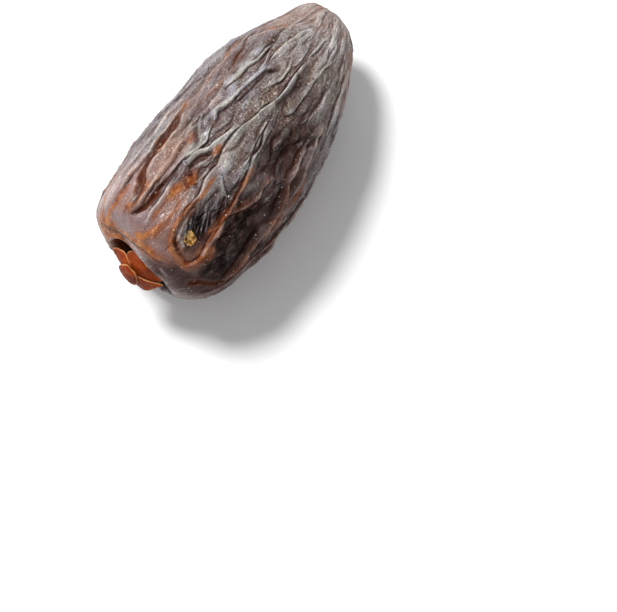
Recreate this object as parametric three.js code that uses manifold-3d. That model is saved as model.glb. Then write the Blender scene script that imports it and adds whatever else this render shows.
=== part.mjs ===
// A medjool date, dried on the palm and lying on its side, in millimetres with +Z up.
// The fruit is one grown body: a tapering barrel with a hollow at its stem end, wrinkled skin folds
// along its length and a small flat spot where it rests. The woody calyx sits in the hollow.
// The stem end points along -X and the tip along +X.

import * as THREE from 'three';
import { mergeVertices } from 'three/addons/utils/BufferGeometryUtils.js';
import Module from 'manifold-3d';

const wasm = await Module();
wasm.setup();

// Driving dimensions of the fruit
const LENGTH = 56;
const BELLY_RADIUS = 14.3;
const RIM_RADIUS = 7;
const RIM_REACH = 1.2;
const HOLLOW_DEPTH = 2.2;
const AXIS_HEIGHT = 13.6;
const FLAT_BLEND = 0.5;

// A fold's section: how sharp its crest is, and its groove's depth as a share of its rise, with the
// groove's distance from the crest and its reach as shares of the fold's width
const CREST_SHARPNESS = 1.6;
const GROOVE_DEPTH = 0.6;
const GROOVE_AWAY = 1.7;
const GROOVE_REACH = 0.9;

// Driving dimensions of the calyx
const CALYX_RADIUS = 5.6;
const CALYX_SINK = -1.35;
const CALYX_RISE = 1.2;
const CALYX_TILT = 18;
const CUPULE_RADIUS = 3;
const LOBE_THICKNESS = 0.6;
const LIP_RISE = 0.25;
const EDGE_THINNING = 0.6;
const LOBE_SAG = 0.5;
const STALK_RADIUS = 1.8;
const FIT_GAP = 0.3;

// Mesh density
const AROUND = 110;
const ALONG = 48;
const LOBE_SIDES = 36;
const LOBE_RINGS = 3;
const STALK_SIDES = 20;
const FOLD_STEP = 0.7;
const MERGE_DISTANCE = 1e-4;

// The barrel's half outline from the floor of the hollow over the rim to the tip.
// Each point is a share of the belly radius and a distance along the length. The rim stands out a
// little in front of the zero of the distances.
const PROFILE = [
  [0, HOLLOW_DEPTH],
  [0.21, HOLLOW_DEPTH - 0.1],
  [0.36, HOLLOW_DEPTH - 0.5],
  [0.425, 0.5],
  [RIM_RADIUS / BELLY_RADIUS, -RIM_REACH],
  [0.6, -0.6],
  [0.74, 0.7],
  [0.855, 2.7],
  [0.93, 5.6],
  [0.975, 10.5],
  [1, 18],
  [0.968, 26],
  [0.885, 34],
  [0.745, 41.5],
  [0.585, 47.5],
  [0.405, 52],
  [0.22, 54.8],
  [0, LENGTH],
];

// Broad swellings and dents of the flesh: centre (distance from the rim, angle), reach along and
// around in mm, and height. The angle is in degrees from the top, towards +Y.
const SWELLS = [
  { x: -1, angle: -16, along: 3, around: 5, height: 0.6 },
  { x: -1, angle: -75, along: 3, around: 5, height: 0.7 },
  { x: 1, angle: 74, along: 3, around: 5, height: 0.3 },
  { x: -1, angle: 30, along: 2.6, around: 4.2, height: -1.15 },
  { x: 9, angle: 77, along: 6, around: 6, height: -0.6 },
  { x: 7, angle: -105, along: 8, around: 6, height: -0.6 },
  { x: 21, angle: -108, along: 8, around: 6, height: -0.4 },
  { x: 52.5, angle: 45, along: 3, around: 3.5, height: 0.8 },
  { x: 55.5, angle: -8, along: 3, around: 3, height: -0.8 },
  { x: 47, angle: -97, along: 6, around: 5, height: -0.2 },
  { x: 41, angle: 62, along: 4, around: 4, height: 0.6 },
  { x: 34, angle: 68, along: 5, around: 5, height: 0.7 },
  { x: 6.6, angle: -30, along: 4.4, around: 3.2, height: -1.15 },
  { x: 13.5, angle: -48, along: 5, around: 4.5, height: -0.5 },
  { x: 12.4, angle: -3, along: 2.8, around: 1.7, height: -0.7 },
  { x: 27, angle: -42, along: 6, around: 4, height: -0.55 },
  { x: 19, angle: -20, along: 5, around: 3, height: 0.3 },
  { x: 46, angle: -36, along: 4, around: 3, height: 0.35 },
  { x: 22, angle: 118, along: 12, around: 6, height: -0.7 },
  { x: 36, angle: 150, along: 9, around: 5, height: 0.4 },
  { x: 14, angle: -140, along: 9, around: 6, height: -0.6 },
  { x: 38, angle: -128, along: 10, around: 5, height: -0.5 },
];

// Skin folds: rise and width in mm, and a path of (distance from the rim, angle) points. A fold leans
// over a groove on its lee side: 1 is the left of its path seen from outside, -1 the right, 0 neither.
const FOLDS = [
  { rise: 0.5, width: 1.77, lee: 0, path: [[3, 49], [7, 47], [12, 46], [17, 44], [21, 46], [26, 42]] },
  { rise: 0.55, width: 1.22, lee: -1, path: [[5, 39], [9, 38], [13, 37], [17, 37], [21, 38], [24, 40]] },
  { rise: -0.7, width: 1.11, lee: 0, path: [[4, 22], [7, 25], [10, 29], [14, 32], [18, 33], [24, 37]] },
  { rise: 0.6, width: 1, lee: 1,
    path: [[8.7, 24.5], [12, 26], [14.3, 24.5], [17.2, 26], [19.6, 28], [22, 31], [23.7, 30.5]] },
  { rise: 0.55, width: 1.77, lee: -1, path: [[4, 18], [7, 18], [11, 18], [15, 18.5], [19, 18]] },
  { rise: -0.9, width: 0.95, lee: 0,
    path: [[3.2, 17.5], [3.9, 15], [4.8, 12.5], [6, 11.2], [8.5, 11], [11, 10.5], [13.5, 9]] },
  { rise: 0.6, width: 0.95, lee: 1,
    path: [[3.1, 5], [4.5, 4.6], [6.4, 4.2], [8, 3.8], [9.7, 4.6], [12, 5.5]] },
  { rise: 0.45, width: 1.1, lee: -1,
    path: [[0.6, 62], [-0.1, 46], [-0.4, 28], [-0.2, 13], [0.1, 0], [0.2, -10], [0.4, -24], [0.8, -38]] },
  { rise: 0.35, width: 0.95, lee: 0,
    path: [[0.2, 10], [0.9, 3.5], [1.8, -2.5], [3.3, -5.6], [5.1, -7], [8, -7]] },
  { rise: 0.75, width: 1, lee: -1,
    path: [[8.9, 13.5], [10.9, 11.5], [13.6, 11], [15.4, 10], [17.3, 7.7], [19.1, 7.2], [20.6, 9.5],
      [23.4, 12]] },
  { rise: 0.65, width: 1.2, lee: -1,
    path: [[22.8, 11], [24.6, 13.5], [26.9, 12], [29.5, 11.5], [31.2, 10], [34.2, 8.7], [36.6, 9.5]] },
  { rise: 0.55, width: 1.2, lee: 1,
    path: [[14.5, 6.5], [16.5, 3.7], [18, 0.7], [19.8, -1.5], [21.5, -4], [23.2, -4.5], [25.1, -2]] },
  { rise: 0.5, width: 0.95, lee: -1, path: [[32, -1], [33.5, -3.3], [36, -7], [37.8, -6], [39.8, -5]] },
  { rise: 0.8, width: 0.95, lee: 1,
    path: [[7, -16.5], [10.5, -15], [15, -12.6], [17.4, -12.8], [19.6, -10.4], [21.9, -8]] },
  { rise: 0.8, width: 0.95, lee: 1,
    path: [[20.5, -9], [23.7, -8.8], [27.3, -11], [31.4, -15.5], [35.4, -16], [40, -18], [45, -17]] },
  { rise: 0.85, width: 1, lee: 1,
    path: [[9.5, -15.5], [6.5, -15], [4.6, -16.5], [3.1, -20], [2.3, -27], [1.9, -36], [2, -43],
      [3.6, -46], [6.6, -42], [10, -39]] },
  { rise: 0.7, width: 1.22, lee: -1,
    path: [[3, -75], [6.1, -74], [10.6, -70], [14.9, -69], [19.2, -66], [24.1, -58], [27.3, -55.5],
      [31, -54]] },
  { rise: 0.6, width: 1, lee: -1,
    path: [[11.5, -35], [14, -40], [15.6, -42], [17.1, -45], [19.2, -43], [21, -43], [22.7, -48]] },
  { rise: 0.65, width: 1, lee: 1,
    path: [[11.5, -37], [14.9, -33.8], [17, -32.4], [19, -30.6], [21.4, -28], [24.2, -26], [27, -21.5],
      [29.5, -19.5]] },
  { rise: 0.4, width: 0.95, lee: -1, path: [[19.5, -24], [22.3, -21.5], [25.8, -18.5], [29, -16.8]] },
  { rise: 0.5, width: 0.95, lee: 1, path: [[37.5, 8.5], [41.2, 7.5], [44.8, 5], [46.5, 1], [48.5, -2]] },
  { rise: 0.45, width: 1, lee: 1, path: [[39.5, 42], [43.6, 28.5], [46.6, 16], [49, 9]] },
  { rise: 0.5, width: 1.11, lee: -1, path: [[29, 22], [33, 19.5], [37, 18.5], [41, 19.5]] },
  { rise: 0.65, width: 1, lee: -1,
    path: [[31, -25], [33, -28.6], [36.7, -29.3], [41.4, -30.3], [44, -33], [46, -39]] },
  { rise: 0.45, width: 0.95, lee: 0, path: [[46, -27], [48.5, -27.5], [51, -26], [53, -20]] },
  { rise: 0.5, width: 1.55, lee: -1, path: [[22, -69], [25, -67], [29, -63], [33, -60], [36, -59]] },
  { rise: 0.5, width: 1.11, lee: 1, path: [[35, -70], [39, -67], [43, -66], [48, -71]] },
  { rise: 0.35, width: 0.95, lee: 1, path: [[33, -45], [37.7, -47], [41, -48]] },
  { rise: 0.4, width: 1.11, lee: -1, path: [[11, 60], [18, 58], [25, 56], [32, 53]] },
  { rise: 0.35, width: 1, lee: 1, path: [[24, 35], [29, 38], [34, 41], [38, 47]] },
  { rise: -0.45, width: 0.95, lee: 0, path: [[0.5, -60], [1.6, -65], [3, -73], [5, -80]] },
  { rise: 0.45, width: 1, lee: -1, path: [[12, -83], [19, -81], [26, -79], [33, -80]] },
];

// Folds of the side that lies away, spread by a seeded rule
const FAR_FOLDS = { count: 23, from: 84, to: 272, seed: 4711, rise: [0.35, 0.75], width: [0.95, 1.4] };

// Lobes of the calyx, the lower ones first: the lift over the dome, and the closed outline as points
// of (angle from the top towards +Y, distance from the middle)
const LOBES = [
  { lift: 0, outline: [[130, 1], [150, 2.3], [180, 2.6], [205, 2.6], [228, 1.3], [180, 0.3]] },
  { lift: 0.15,
    outline: [[-90, 0.6], [-76, 2], [-72, 4.3], [-59, 5.1], [-42, 4.6], [-21, 4.1], [-2, 4.6], [14, 5],
      [36, 4.4], [40, 2.5], [60, 0.4]] },
  { lift: 0.5,
    outline: [[20, 0.5], [34, 2.8], [42, 4.3], [58, 5.1], [72, 5.6], [82, 5.9], [87, 3.8], [95, 1.6],
      [110, 0.6]] },
  { lift: 0.7,
    outline: [[150, 0.6], [-175, 1.2], [-158, 2.4], [-143, 3.3], [-123, 3.3], [-95, 3.9], [-84, 4.4],
      [-76, 5.2], [-70, 4.4], [-64, 2.8], [-56, 1.6], [-30, 0.9]] },
  { lift: 1,
    outline: [[100, 3.3], [128, 2.9], [152, 2.5], [175, 2.1], [-168, 1.9], [-120, 1.2], [-50, 1.1],
      [-9, 1.7], [10, 1.9], [35, 2.6], [52, 2.7], [79, 3]] },
];

const radians = THREE.MathUtils.degToRad;
const smoothstep = THREE.MathUtils.smoothstep;

function seededRandom(seed) {
  let state = seed;
  return () => {
    state = (state * 16807) % 2147483647;
    return (state - 1) / 2147483646;
  };
}

function skin(colour, roughness) {
  return new THREE.MeshStandardMaterial({ color: colour, roughness, metalness: 0 });
}

// The smooth barrel

const profileCurve = new THREE.SplineCurve(
  PROFILE.map(([share, x]) => new THREE.Vector2(share * BELLY_RADIUS, x)),
);

// The outer half outline alone, from the rim to the tip, to find the radius at a distance
const outerOutline = profileCurve.getSpacedPoints(600);
outerOutline.splice(0, outerOutline.reduce((low, p, i) => (p.y < outerOutline[low].y ? i : low), 0));

function radiusAt(x) {
  const next = outerOutline.findIndex((p) => p.y >= x);
  if (next < 1) return x <= 0 ? outerOutline[0].x : 0;
  const [a, b] = [outerOutline[next - 1], outerOutline[next]];
  return THREE.MathUtils.lerp(a.x, b.x, (x - a.y) / (b.y - a.y));
}

function onBarrel(x, angle) {
  const radius = radiusAt(x);
  return new THREE.Vector3(x, radius * Math.sin(angle), radius * Math.cos(angle));
}

// Folds and swellings

function farFolds({ count, from, to, seed, rise, width }) {
  const random = seededRandom(seed);
  const between = ([low, high]) => low + (high - low) * random();
  return Array.from({ length: count }, (_, i) => {
    const middle = from + ((to - from) * (i + 0.2 + 0.6 * random())) / count;
    const start = 0.8 + 16 * random() * (i % 2);
    const end = Math.min(52, start + 20 + 24 * random());
    const drift = 10 * (random() - 0.5);
    const wave = 3 + 3 * random();
    const phase = 6.28 * random();
    const steps = Math.round((end - start) / 4);
    const path = Array.from({ length: steps + 1 }, (_, k) => {
      const share = k / steps;
      const angle = middle + drift * (share - 0.5) + wave * Math.sin(phase + 5 * share);
      return [start + (end - start) * share, angle];
    });
    return { rise: between(rise), width: between(width), lee: random() < 0.5 ? -1 : 1, path };
  });
}

// A fold with its path as closely spaced points on the barrel
function trace(fold) {
  const curve = new THREE.SplineCurve(fold.path.map(([x, angle]) => new THREE.Vector2(x, angle)));
  const ends = [fold.path[0], fold.path[fold.path.length - 1]];
  const [first, last] = ends.map(([x, angle]) => onBarrel(x, radians(angle)));
  const steps = Math.ceil(first.distanceTo(last) / FOLD_STEP);
  const points = curve.getPoints(Math.max(steps, 8 * fold.path.length));
  return { ...fold, line: points.map((p) => onBarrel(p.x, radians(p.y))) };
}

// Height that one fold gives at a place: its crest, and the groove beside it
function foldHeight(fold, place, outward) {
  let nearest = 0;
  let best = Infinity;
  fold.line.forEach((sample, i) => {
    const far = sample.distanceToSquared(place);
    if (far < best) [best, nearest] = [far, i];
  });
  const reach = 5 * fold.width;
  if (best > reach * reach) return { crest: 0, groove: 0 };
  const last = fold.line.length - 1;
  const along = nearest / last;
  const taper = 0.1 + 0.9 * smoothstep(along, -0.1, 0.15) * (1 - smoothstep(along, 0.8, 1));
  const start = Math.min(nearest, last - 1);
  const ahead = fold.line[start + 1].clone().sub(fold.line[start]);
  const side = Math.sign(ahead.cross(place.clone().sub(fold.line[start])).dot(outward));
  const away = Math.sqrt(best) / fold.width;
  const crest = taper * fold.rise * Math.exp(-(away ** CREST_SHARPNESS));
  const sunken = taper * fold.rise * GROOVE_DEPTH * Math.exp(-(((away - GROOVE_AWAY) / GROOVE_REACH) ** 2));
  const groove = side === fold.lee ? sunken : 0;
  return fold.rise > 0 ? { crest, groove } : { crest: 0, groove: -crest };
}

const folds = [...FOLDS, ...farFolds(FAR_FOLDS)].map(trace);
const swells = SWELLS.map((swell) => ({ ...swell, place: onBarrel(swell.x, radians(swell.angle)) }));

// Height of a swell: it fades with the distance along and around the barrel
function swellHeight(swell, place) {
  const along = (place.x - swell.place.x) / swell.along;
  const around = Math.hypot(place.y - swell.place.y, place.z - swell.place.z) / swell.around;
  return swell.height * Math.exp(-(along ** 2) - around ** 2);
}

// Folds that meet share their height instead of piling up
function relief(place, outward) {
  let crests = 0;
  let grooves = 0;
  for (const fold of folds) {
    const { crest, groove } = foldHeight(fold, place, outward);
    crests += crest ** 3;
    grooves += groove ** 3;
  }
  const broad = swells.reduce((sum, swell) => sum + swellHeight(swell, place), 0);
  return broad + Math.cbrt(crests) - Math.cbrt(grooves);
}

// The centre line's gentle bend: sideways, and down towards the tip
function bend(x) {
  const share = x / LENGTH;
  return { y: -0.4 - 2.2 * share + 3.5 * share ** 2, z: AXIS_HEIGHT - 1.2 * share ** 3 };
}

// The underside settles flat on the ground, with a soft edge
function settle(z) {
  if (z >= FLAT_BLEND) return z;
  return z <= -FLAT_BLEND ? 0 : (z + FLAT_BLEND) ** 2 / (4 * FLAT_BLEND);
}

function fruitGeometry() {
  const outline = profileCurve.getSpacedPoints(ALONG);
  const rimRow = outline.reduce((lowest, p, row) => (p.y < outline[lowest].y ? row : lowest), 0);
  const geometry = new THREE.LatheGeometry(outline, AROUND);
  geometry.rotateZ(-Math.PI / 2);
  const position = geometry.getAttribute('position');
  const normal = geometry.getAttribute('normal');
  const place = new THREE.Vector3();
  const outward = new THREE.Vector3();
  for (let i = 0; i < position.count; i++) {
    place.fromBufferAttribute(position, i);
    outward.fromBufferAttribute(normal, i);
    const row = i % (ALONG + 1);
    const fade = smoothstep(row - rimRow, -2, 0.5) * smoothstep(ALONG - row, 0, 2.5);
    if (fade > 0) place.addScaledVector(outward, fade * relief(place, outward));
    const centre = bend(place.x);
    position.setXYZ(i, place.x, place.y + centre.y, settle(place.z + centre.z));
  }
  return geometry;
}

// Calyx, built round its own axis: X is 0 at the dome's edge and -CALYX_RISE at its top

function domeHeight(radius) {
  return -CALYX_RISE * (1 - (radius / CALYX_RADIUS) ** 2);
}

function polar(radius, angle) {
  return new THREE.Vector3(0, radius * Math.sin(angle), radius * Math.cos(angle));
}

// One lobe: a thin plate inside its outline, bent over the dome, with a raised lip round its edge.
// A ball's rings of points become the plate: its upper half the outer face, its lower half the inner.
function lobeGeometry({ lift, outline }) {
  const corners = outline.map(([angle, radius]) => polar(radius, radians(angle)));
  const rim = new THREE.CatmullRomCurve3(corners, true).getSpacedPoints(LOBE_SIDES);
  const middle = corners.reduce((sum, corner) => sum.add(corner), new THREE.Vector3());
  middle.divideScalar(corners.length);
  const lastRing = 2 * LOBE_RINGS + 1;
  const plate = new THREE.SphereGeometry(1, LOBE_SIDES, lastRing);
  const position = plate.getAttribute('position');
  for (let i = 0; i < position.count; i++) {
    const ring = Math.floor(i / (LOBE_SIDES + 1));
    const above = ring <= LOBE_RINGS;
    const outwards = (above ? ring : lastRing - ring) / LOBE_RINGS;
    const place = middle.clone().lerp(rim[i % (LOBE_SIDES + 1)], outwards);
    const radius = place.length();
    const lip = LIP_RISE * smoothstep(outwards, 0.5, 1);
    const rise = lift * (1 - LOBE_SAG * (radius / CALYX_RADIUS) ** 2) + lip;
    const thickness = above ? LOBE_THICKNESS * (1 - EDGE_THINNING * smoothstep(outwards, 0.5, 1)) : 0;
    position.setXYZ(i, domeHeight(radius) - rise - thickness, place.y, place.z);
  }
  return plate;
}

// The stalk that stands in the hollow, with the cupule that carries the lobes and the scar on top
function stalkGeometry() {
  const floor = HOLLOW_DEPTH - CALYX_SINK - FIT_GAP - 0.25;
  const outline = [
    [0, -CALYX_RISE - 1.1],
    [0.5, -CALYX_RISE - 1.05],
    [0.9, -CALYX_RISE - 0.8],
    [1.4, -CALYX_RISE - 0.4],
    [CUPULE_RADIUS - 0.2, domeHeight(CUPULE_RADIUS) - 0.25],
    [CUPULE_RADIUS, domeHeight(CUPULE_RADIUS) + 0.3],
    [2.4, 0.5],
    [STALK_RADIUS, floor - 0.4],
    [STALK_RADIUS - 0.3, floor],
    [0, floor],
  ].map(([radius, x]) => new THREE.Vector2(radius, x));
  return new THREE.LatheGeometry(outline, STALK_SIDES).rotateZ(-Math.PI / 2);
}

// Solids to join, from closed geometries

function solidFrom(geometry) {
  const bare = new THREE.BufferGeometry().setAttribute('position', geometry.getAttribute('position'));
  bare.setIndex(geometry.getIndex());
  const merged = mergeVertices(bare, MERGE_DISTANCE);
  const vertProperties = merged.attributes.position.array;
  const triVerts = Uint32Array.from(merged.index.array);
  return new wasm.Manifold(new wasm.Mesh({ numProp: 3, vertProperties, triVerts }));
}

function geometryFrom(solid) {
  const { vertProperties, triVerts } = solid.getMesh();
  const geometry = new THREE.BufferGeometry();
  geometry.setAttribute('position', new THREE.BufferAttribute(vertProperties, 3));
  geometry.setIndex(new THREE.BufferAttribute(triVerts, 1));
  geometry.computeVertexNormals();
  return geometry;
}

function calyxGeometry() {
  const lobes = LOBES.map((lobe) => solidFrom(lobeGeometry(lobe)));
  return geometryFrom(lobes.reduce((joined, lobe) => joined.add(lobe), solidFrom(stalkGeometry())));
}

// The date

const fruit = new THREE.Mesh(fruitGeometry(), skin(0x4f3a38, 0.5));
fruit.name = 'fruit';

const calyx = new THREE.Mesh(calyxGeometry(), skin(0xb4592b, 0.6));
calyx.name = 'calyx';
calyx.position.set(CALYX_SINK, bend(0).y, bend(0).z);
calyx.rotation.y = radians(CALYX_TILT);

const assembled = new THREE.Group();
assembled.add(fruit, calyx);

// The origin is on the ground under the middle of the whole date
const box = new THREE.Box3().setFromObject(assembled, true);
const middle = box.getCenter(new THREE.Vector3());
assembled.position.set(-middle.x, -middle.y, -box.min.z);

const date = new THREE.Group();
date.add(assembled);

export default date;
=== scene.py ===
"""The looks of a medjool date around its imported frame: skin, woody calyx, floor, light and camera."""
import math

import bpy
import numpy as np
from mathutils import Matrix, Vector


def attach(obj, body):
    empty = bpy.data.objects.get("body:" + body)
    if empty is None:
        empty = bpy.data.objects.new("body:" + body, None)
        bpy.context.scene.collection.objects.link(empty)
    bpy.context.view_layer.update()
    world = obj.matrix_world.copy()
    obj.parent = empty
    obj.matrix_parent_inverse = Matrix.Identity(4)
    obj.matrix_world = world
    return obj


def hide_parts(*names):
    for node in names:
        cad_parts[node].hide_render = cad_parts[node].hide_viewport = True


MM = 0.001

# Sizes of the fruit, in millimetres, as in the solid
LENGTH = 56
MIDDLE = LENGTH / 2
MIDDLE_HEIGHT = 13.7
BELLY_RADIUS = 14.3
RIM_RADIUS = 7
RIM_REACH = 1.2
HOLLOW_DEPTH = 2.2
AXIS_HEIGHT = 13.6
AXIS_DROP = 1.2
AXIS_ACROSS = (-0.4, -2.2, 3.5)
FLAT_BLEND = 0.5

# Sizes of the calyx, in millimetres, as in the solid
CALYX_RADIUS = 5.6
CALYX_SINK = -1.35
CALYX_RISE = 1.2
CALYX_TILT = 18
CUPULE_RADIUS = 3
LOBE_THICKNESS = 0.6
LIP_RISE = 0.25
STALK_RADIUS = 1.8
FIT_GAP = 0.3

# Ripple and veins of the lobes: pitch, height and seed
LOBE_NOISES = [(0.7, 0.14, 51), (2.6, 0.05, 52)]

# Mesh density of the skin, whose columns are closest together at one angle, and of the calyx
AROUND = 400
ALONG = 246
HOLLOW_ROWS = 12
HOLLOW_BAND = 3
CLOSER_COLUMNS = 0.3
CLOSEST_ANGLE = -17
LOBE_ROWS = 30
LOBE_COLUMNS = 120
CORE_ROWS = 70
CORE_COLUMNS = 96
CURVE_STEPS = 4000

# A fold's section: places and reaches in shares of its width, heights in shares of its rise
OPEN_SLOPE, LEE_SLOPE = 0.42, 1.5
BASE_SHARE, CREST_SHARE, LINE_SHARE = 0.62, 0.2, 0.18
CREST_SLOPE, LINE_REACH = 2.3, 0.2
GROOVE_PLACE, GROOVE_REACH = 0.68, 0.24

# The groove's depth and the crest's lean as shares of the fold's rise, and the most that it leans
GROOVE_DEPTH = 0.6
LEAN = 0.5
MOST_LEAN = 0.4

# How far the tints of a fold reach from its crest, in shares of its width: the pale crest line, partly
# painted highlight, and the amber
CREST_TINT_REACH = 0.24
AMBER_TINT_REACH = 1.3

# Noises over the skin, as layers of share, reach along, reach around and seed
SIDEWAYS_SHIFT = [(0.3, 2.6, 1.7, 41)]
ALONG_SHIFT = [(0.3, 2, 1.2, 42)]
UNEVEN_RISE = [(0.45, 2.4, 2, 43), (0.25, 1.1, 0.9, 44)]
PATCH_BEND = [(1, 3.5, 2.2, 21), (0.5, 1.6, 1, 22)]
COARSE_RIDGES = [(1, 7, 1.9, 11), (0.35, 3, 0.9, 12)]
FINE_RIDGES = [(1, 3.2, 0.9, 13), (0.3, 1.5, 0.5, 14)]

# Crumpled skin: facets as reach along, reach around and seed, and the heights of facets and ridges
SHEETS = (5.2, 2.3, 71)
FLAKES = (2.3, 1.1, 81)
SHEET_HEIGHT, FLAKE_HEIGHT = 0.34, 0.13
COARSE_HEIGHT, FINE_HEIGHT = 0.1, 0.05
FACET_SCATTER = 0.4
FACET_SHARPNESS = 10
FACET_HASH = (7919, 104729)
SEAM_WIDTH = 0.13

# The glazed, calmer skin round the stem end: strength, and where it fades along the fruit and round it
GLAZED = [(1, (4, 15), (-28, -12)), (0.85, (1.5, 5), (-112, -88))]
GLAZE_FAR_FADE = (90, 120)
GLAZE_CALM = 0.8

# Where the relief fades out: past the rim into the hollow, and towards the tip
HOLLOW_FADE = (-3.5, 0.8)
TIP_FADE = (0, 4.5)

# The relief against its surroundings: their reach, and the height that counts as full
NEAR_RELIEF = (0.55, 0.2)
BROAD_RELIEF = (2, 0.6)

# Noise from a lattice of random values
LATTICE = 4096
HASH = (73856093, 19349663, 83492791)

# The barrel's half outline: a share of the belly radius, and the distance along the length
PROFILE = [
    (0, HOLLOW_DEPTH), (0.21, HOLLOW_DEPTH - 0.1), (0.36, HOLLOW_DEPTH - 0.5), (0.425, 0.5),
    (RIM_RADIUS / BELLY_RADIUS, -RIM_REACH), (0.6, -0.6), (0.74, 0.7), (0.855, 2.7), (0.93, 5.6),
    (0.975, 10.5), (1, 18),
    (0.968, 26), (0.885, 34), (0.745, 41.5), (0.585, 47.5), (0.405, 52), (0.22, 54.8), (0, LENGTH),
]

# Broad swellings and dents: distance from the rim, angle from the top towards +Y in degrees,
# reach along, reach around and height in millimetres
SWELLS = [
    (-1, -16, 3, 5, 0.6), (-1, -75, 3, 5, 0.7), (1, 74, 3, 5, 0.3), (-1, 30, 2.6, 4.2, -1.15),
    (9, 77, 6, 6, -0.6), (7, -105, 8, 6, -0.6), (21, -108, 8, 6, -0.4), (52.5, 45, 3, 3.5, 0.8),
    (55.5, -8, 3, 3, -0.8), (47, -97, 6, 5, -0.2), (41, 62, 4, 4, 0.6), (34, 68, 5, 5, 0.7),
    (6.6, -30, 4.4, 3.2, -1.15), (13.5, -48, 5, 4.5, -0.5), (12.4, -3, 2.8, 1.7, -0.7),
    (27, -42, 6, 4, -0.55), (19, -20, 5, 3, 0.3), (46, -36, 4, 3, 0.35), (22, 118, 12, 6, -0.7),
    (36, 150, 9, 5, 0.4), (14, -140, 9, 6, -0.6), (38, -128, 10, 5, -0.5),
]

# Main folds of the side that faces up: rise, width, lee side, path as "distance,angle" points, amber tint
FOLDS = [
    (0.5, 1.2, 0, "3,49 7,47 12,46 17,44 21,46 26,42"),
    (0.55, 0.8, -1, "5,39 9,38 13,37 17,37 21,38 24,40"),
    (-0.7, 0.7, 0, "4,22 7,25 10,29 14,32 18,33 24,37", 0.9),
    (0.6, 0.65, 1, "8.7,24.5 12,26 14.3,24.5 17.2,26 19.6,28 22,31 23.7,30.5", 0.3),
    (0.55, 1.1, -1, "4,18 7,18 11,18 15,18.5 19,18", 0.3),
    (-0.9, 0.55, 0, "3.2,17.5 3.9,15 4.8,12.5 6,11.2 8.5,11 11,10.5 13.5,9", 0.5),
    (0.6, 0.45, 1, "3.1,5 4.5,4.6 6.4,4.2 8,3.8 9.7,4.6 12,5.5", 0.1),
    (0.45, 0.8, -1, "0.6,62 -0.1,46 -0.4,28 -0.2,13 0.1,0 0.2,-10 0.4,-24 0.8,-38", 0.9),
    (0.35, 0.6, 0, "0.2,10 0.9,3.5 1.8,-2.5 3.3,-5.6 5.1,-7 8,-7", 0.8),
    (0.75, 0.6, -1, "8.9,13.5 10.9,11.5 13.6,11 15.4,10 17.3,7.7 19.1,7.2 20.6,9.5 23.4,12"),
    (0.65, 0.9, -1, "22.8,11 24.6,13.5 26.9,12 29.5,11.5 31.2,10 34.2,8.7 36.6,9.5"),
    (0.55, 0.9, 1, "14.5,6.5 16.5,3.7 18,0.7 19.8,-1.5 21.5,-4 23.2,-4.5 25.1,-2"),
    (0.5, 0.55, -1, "32,-1 33.5,-3.3 36,-7 37.8,-6 39.8,-5"),
    (0.8, 0.6, 1, "7,-16.5 10.5,-15 15,-12.6 17.4,-12.8 19.6,-10.4 21.9,-8", 0.2),
    (0.8, 0.6, 1, "20.5,-9 23.7,-8.8 27.3,-11 31.4,-15.5 35.4,-16 40,-18 45,-17"),
    (0.85, 0.6, 1, "9.5,-15.5 6.5,-15 4.6,-16.5 3.1,-20 2.3,-27 1.9,-36 2,-43 3.6,-46 6.6,-42 10,-39", 0.9),
    (0.7, 0.8, -1, "3,-75 6.1,-74 10.6,-70 14.9,-69 19.2,-66 24.1,-58 27.3,-55.5 31,-54", 0.25),
    (0.6, 0.6, -1, "11.5,-35 14,-40 15.6,-42 17.1,-45 19.2,-43 21,-43 22.7,-48", 0.3),
    (0.65, 0.6, 1, "11.5,-37 14.9,-33.8 17,-32.4 19,-30.6 21.4,-28 24.2,-26 27,-21.5 29.5,-19.5"),
    (0.4, 0.5, -1, "19.5,-24 22.3,-21.5 25.8,-18.5 29,-16.8"),
    (0.5, 0.55, 1, "37.5,8.5 41.2,7.5 44.8,5 46.5,1 48.5,-2"),
    (0.45, 0.6, 1, "39.5,42 43.6,28.5 46.6,16 49,9", 0.2),
    (0.5, 0.7, -1, "29,22 33,19.5 37,18.5 41,19.5"),
    (0.65, 0.6, -1, "31,-25 33,-28.6 36.7,-29.3 41.4,-30.3 44,-33 46,-39"),
    (0.45, 0.5, 0, "46,-27 48.5,-27.5 51,-26 53,-20"),
    (0.5, 1, -1, "22,-69 25,-67 29,-63 33,-60 36,-59", 0.2),
    (0.5, 0.7, 1, "35,-70 39,-67 43,-66 48,-71"),
    (0.35, 0.55, 1, "33,-45 37.7,-47 41,-48"),
    (0.4, 0.7, -1, "11,60 18,58 25,56 32,53"),
    (0.35, 0.6, 1, "24,35 29,38 34,41 38,47", 0.3),
    (-0.45, 0.6, 0, "0.5,-60 1.6,-65 3,-73 5,-80", 0.5),
    (0.45, 0.6, -1, "12,-83 19,-81 26,-79 33,-80"),
]

# Folds of the side that lies away, spread by the same seeded rule as in the solid
FAR_FOLDS = {"count": 23, "angles": (84, 272), "seed": 4711, "rise": (0.35, 0.75), "width": (0.65, 1)}

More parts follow.
